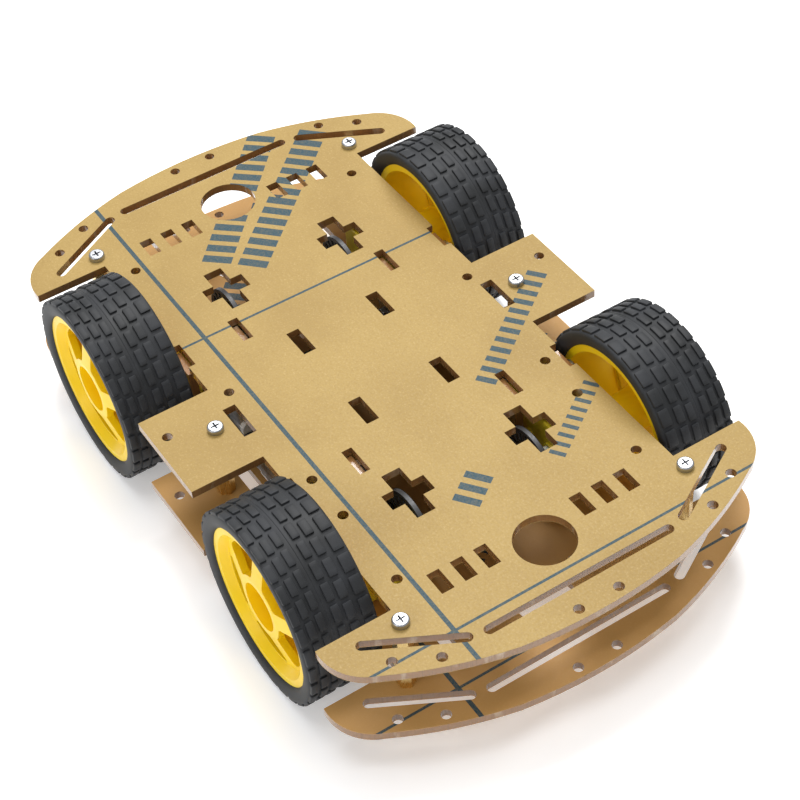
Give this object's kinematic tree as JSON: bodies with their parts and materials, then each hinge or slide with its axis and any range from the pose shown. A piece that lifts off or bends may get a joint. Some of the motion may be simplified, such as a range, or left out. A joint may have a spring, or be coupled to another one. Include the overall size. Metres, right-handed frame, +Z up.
{
  "type": "four wheel robot chassis",
  "caption": "Wheeled robot chassis: slotted acrylic decks on brass standoffs, geared motors on T brackets, spoked yellow wheels with rubber tyres, and slotted speed discs.",
  "frame": {"origin": "on the ground, midway between the wheels, below the centre of the decks", "axes": "+X forward along the decks' length, +Y to the left along the axles, +Z up"},
  "size_m": [0.255, 0.1592, 0.066],
  "materials": {
    "acrylic": "clear laser-cut acrylic that shows amber at its cut edges",
    "kraft_film": "matt brown protective paper with blue guide lines",
    "brass": "turned",
    "zinc_steel": "zinc plated",
    "gearbox_yellow": "moulded",
    "wheel_yellow": "moulded",
    "tyre_rubber": "matt rubber",
    "can_steel": "drawn",
    "white_cap": "moulded",
    "nylon": "moulded nylon",
    "clear_strap": "clear moulded",
    "encoder_black": "moulded",
    "ferrite": "sintered"
  },
  "bodies": {
    "chassis": {"lower_plate": "acrylic", "upper_plate": "acrylic", "lower_plate_film": "kraft_film", "upper_plate_film": "kraft_film", "standoffs": "brass", "standoff_screws": "zinc_steel", "inner_motor_brackets": "acrylic", "outer_motor_brackets": "acrylic", "bracket_bolts": "zinc_steel", "bracket_nuts": "zinc_steel", "gear_pins": "zinc_steel", "gearbox_screws": "zinc_steel", "motor_straps": "clear_strap", "motor_end_caps": "white_cap", "motor_terminals": "brass", "motor_magnets": "ferrite", "front_left_gearbox_outer_half": "gearbox_yellow", "front_left_gearbox_inner_half": "gearbox_yellow", "front_left_motor_can": "can_steel", "front_right_gearbox_outer_half": "gearbox_yellow", "front_right_gearbox_inner_half": "gearbox_yellow", "front_right_motor_can": "can_steel", "rear_left_gearbox_outer_half": "gearbox_yellow", "rear_left_gearbox_inner_half": "gearbox_yellow", "rear_left_motor_can": "can_steel", "rear_right_gearbox_outer_half": "gearbox_yellow", "rear_right_gearbox_inner_half": "gearbox_yellow", "rear_right_motor_can": "can_steel"},
    "front_left_wheel": {"front_left_tyre": "tyre_rubber", "front_left_rim": "wheel_yellow", "front_left_output_shaft": "nylon", "front_left_encoder_disc": "encoder_black"},
    "front_left_sleeve_gear": {"front_left_sleeve_gear": "nylon"},
    "front_left_crown_gear": {"front_left_crown_gear": "nylon"},
    "front_left_idler_gear": {"front_left_idler_gear": "nylon"},
    "front_left_rotor": {"front_left_motor_rotor": "can_steel"},
    "front_right_wheel": {"front_right_tyre": "tyre_rubber", "front_right_rim": "wheel_yellow", "front_right_output_shaft": "nylon", "front_right_encoder_disc": "encoder_black"},
    "front_right_sleeve_gear": {"front_right_sleeve_gear": "nylon"},
    "front_right_crown_gear": {"front_right_crown_gear": "nylon"},
    "front_right_idler_gear": {"front_right_idler_gear": "nylon"},
    "front_right_rotor": {"front_right_motor_rotor": "can_steel"},
    "rear_left_wheel": {"rear_left_tyre": "tyre_rubber", "rear_left_rim": "wheel_yellow", "rear_left_output_shaft": "nylon", "rear_left_encoder_disc": "encoder_black"},
    "rear_left_sleeve_gear": {"rear_left_sleeve_gear": "nylon"},
    "rear_left_crown_gear": {"rear_left_crown_gear": "nylon"},
    "rear_left_idler_gear": {"rear_left_idler_gear": "nylon"},
    "rear_left_rotor": {"rear_left_motor_rotor": "can_steel"},
    "rear_right_wheel": {"rear_right_tyre": "tyre_rubber", "rear_right_rim": "wheel_yellow", "rear_right_output_shaft": "nylon", "rear_right_encoder_disc": "encoder_black"},
    "rear_right_sleeve_gear": {"rear_right_sleeve_gear": "nylon"},
    "rear_right_crown_gear": {"rear_right_crown_gear": "nylon"},
    "rear_right_idler_gear": {"rear_right_idler_gear": "nylon"},
    "rear_right_rotor": {"rear_right_motor_rotor": "can_steel"}
  },
  "joints": [
    {"name": "front_left_wheel_spin", "type": "hinge", "parent": "chassis", "child": "front_left_wheel", "pos_m": [0.0573, 0.04, 0.033], "axis": [0, 1, 0], "continuous": true},
    {"name": "front_left_sleeve_gear_spin", "type": "hinge", "parent": "chassis", "child": "front_left_sleeve_gear", "pos_m": [0.0573, 0.04, 0.033], "axis": [0, 1, 0], "continuous": true},
    {"name": "front_left_idler_gear_spin", "type": "hinge", "parent": "chassis", "child": "front_left_idler_gear", "pos_m": [0.04605, 0.04, 0.033], "axis": [0, 1, 0], "continuous": true},
    {"name": "front_left_crown_gear_spin", "type": "hinge", "parent": "chassis", "child": "front_left_crown_gear", "pos_m": [0.04605, 0.04, 0.033], "axis": [0, 1, 0], "continuous": true},
    {"name": "front_left_rotor_spin", "type": "hinge", "parent": "chassis", "child": "front_left_rotor", "pos_m": [0.0573, 0.04, 0.033], "axis": [1, 0, 0], "continuous": true},
    {"name": "front_right_wheel_spin", "type": "hinge", "parent": "chassis", "child": "front_right_wheel", "pos_m": [0.0573, -0.04, 0.033], "axis": [0, 1, 0], "continuous": true},
    {"name": "front_right_sleeve_gear_spin", "type": "hinge", "parent": "chassis", "child": "front_right_sleeve_gear", "pos_m": [0.0573, -0.04, 0.033], "axis": [0, 1, 0], "continuous": true},
    {"name": "front_right_idler_gear_spin", "type": "hinge", "parent": "chassis", "child": "front_right_idler_gear", "pos_m": [0.04605, -0.04, 0.033], "axis": [0, 1, 0], "continuous": true},
    {"name": "front_right_crown_gear_spin", "type": "hinge", "parent": "chassis", "child": "front_right_crown_gear", "pos_m": [0.04605, -0.04, 0.033], "axis": [0, 1, 0], "continuous": true},
    {"name": "front_right_rotor_spin", "type": "hinge", "parent": "chassis", "child": "front_right_rotor", "pos_m": [0.0573, -0.04, 0.033], "axis": [1, 0, 0], "continuous": true},
    {"name": "rear_left_wheel_spin", "type": "hinge", "parent": "chassis", "child": "rear_left_wheel", "pos_m": [-0.0573, 0.04, 0.033], "axis": [0, 1, 0], "continuous": true},
    {"name": "rear_left_sleeve_gear_spin", "type": "hinge", "parent": "chassis", "child": "rear_left_sleeve_gear", "pos_m": [-0.0573, 0.04, 0.033], "axis": [0, 1, 0], "continuous": true},
    {"name": "rear_left_idler_gear_spin", "type": "hinge", "parent": "chassis", "child": "rear_left_idler_gear", "pos_m": [-0.04605, 0.04, 0.033], "axis": [0, 1, 0], "continuous": true},
    {"name": "rear_left_crown_gear_spin", "type": "hinge", "parent": "chassis", "child": "rear_left_crown_gear", "pos_m": [-0.04605, 0.04, 0.033], "axis": [0, 1, 0], "continuous": true},
    {"name": "rear_left_rotor_spin", "type": "hinge", "parent": "chassis", "child": "rear_left_rotor", "pos_m": [-0.0573, 0.04, 0.033], "axis": [1, 0, 0], "continuous": true},
    {"name": "rear_right_wheel_spin", "type": "hinge", "parent": "chassis", "child": "rear_right_wheel", "pos_m": [-0.0573, -0.04, 0.033], "axis": [0, 1, 0], "continuous": true},
    {"name": "rear_right_sleeve_gear_spin", "type": "hinge", "parent": "chassis", "child": "rear_right_sleeve_gear", "pos_m": [-0.0573, -0.04, 0.033], "axis": [0, 1, 0], "continuous": true},
    {"name": "rear_right_idler_gear_spin", "type": "hinge", "parent": "chassis", "child": "rear_right_idler_gear", "pos_m": [-0.04605, -0.04, 0.033], "axis": [0, 1, 0], "continuous": true},
    {"name": "rear_right_crown_gear_spin", "type": "hinge", "parent": "chassis", "child": "rear_right_crown_gear", "pos_m": [-0.04605, -0.04, 0.033], "axis": [0, 1, 0], "continuous": true},
    {"name": "rear_right_rotor_spin", "type": "hinge", "parent": "chassis", "child": "rear_right_rotor", "pos_m": [-0.0573, -0.04, 0.033], "axis": [1, 0, 0], "continuous": true}
  ],
  "couplings": [
    {"joint": "front_left_sleeve_gear_spin", "follows": "front_left_wheel_spin", "ratio": 3.6923},
    {"joint": "front_left_idler_gear_spin", "follows": "front_left_wheel_spin", "ratio": -2.4615},
    {"joint": "front_left_crown_gear_spin", "follows": "front_left_wheel_spin", "ratio": -14.769},
    {"joint": "front_left_rotor_spin", "follows": "front_left_wheel_spin", "ratio": 48},
    {"joint": "front_right_sleeve_gear_spin", "follows": "front_right_wheel_spin", "ratio": 3.6923},
    {"joint": "front_right_idler_gear_spin", "follows": "front_right_wheel_spin", "ratio": -2.4615},
    {"joint": "front_right_crown_gear_spin", "follows": "front_right_wheel_spin", "ratio": -14.769},
    {"joint": "front_right_rotor_spin", "follows": "front_right_wheel_spin", "ratio": -48},
    {"joint": "rear_left_sleeve_gear_spin", "follows": "rear_left_wheel_spin", "ratio": 3.6923},
    {"joint": "rear_left_idler_gear_spin", "follows": "rear_left_wheel_spin", "ratio": -2.4615},
    {"joint": "rear_left_crown_gear_spin", "follows": "rear_left_wheel_spin", "ratio": -14.769},
    {"joint": "rear_left_rotor_spin", "follows": "rear_left_wheel_spin", "ratio": -48},
    {"joint": "rear_right_sleeve_gear_spin", "follows": "rear_right_wheel_spin", "ratio": 3.6923},
    {"joint": "rear_right_idler_gear_spin", "follows": "rear_right_wheel_spin", "ratio": -2.4615},
    {"joint": "rear_right_crown_gear_spin", "follows": "rear_right_wheel_spin", "ratio": -14.769},
    {"joint": "rear_right_rotor_spin", "follows": "rear_right_wheel_spin", "ratio": 48}
  ]
}
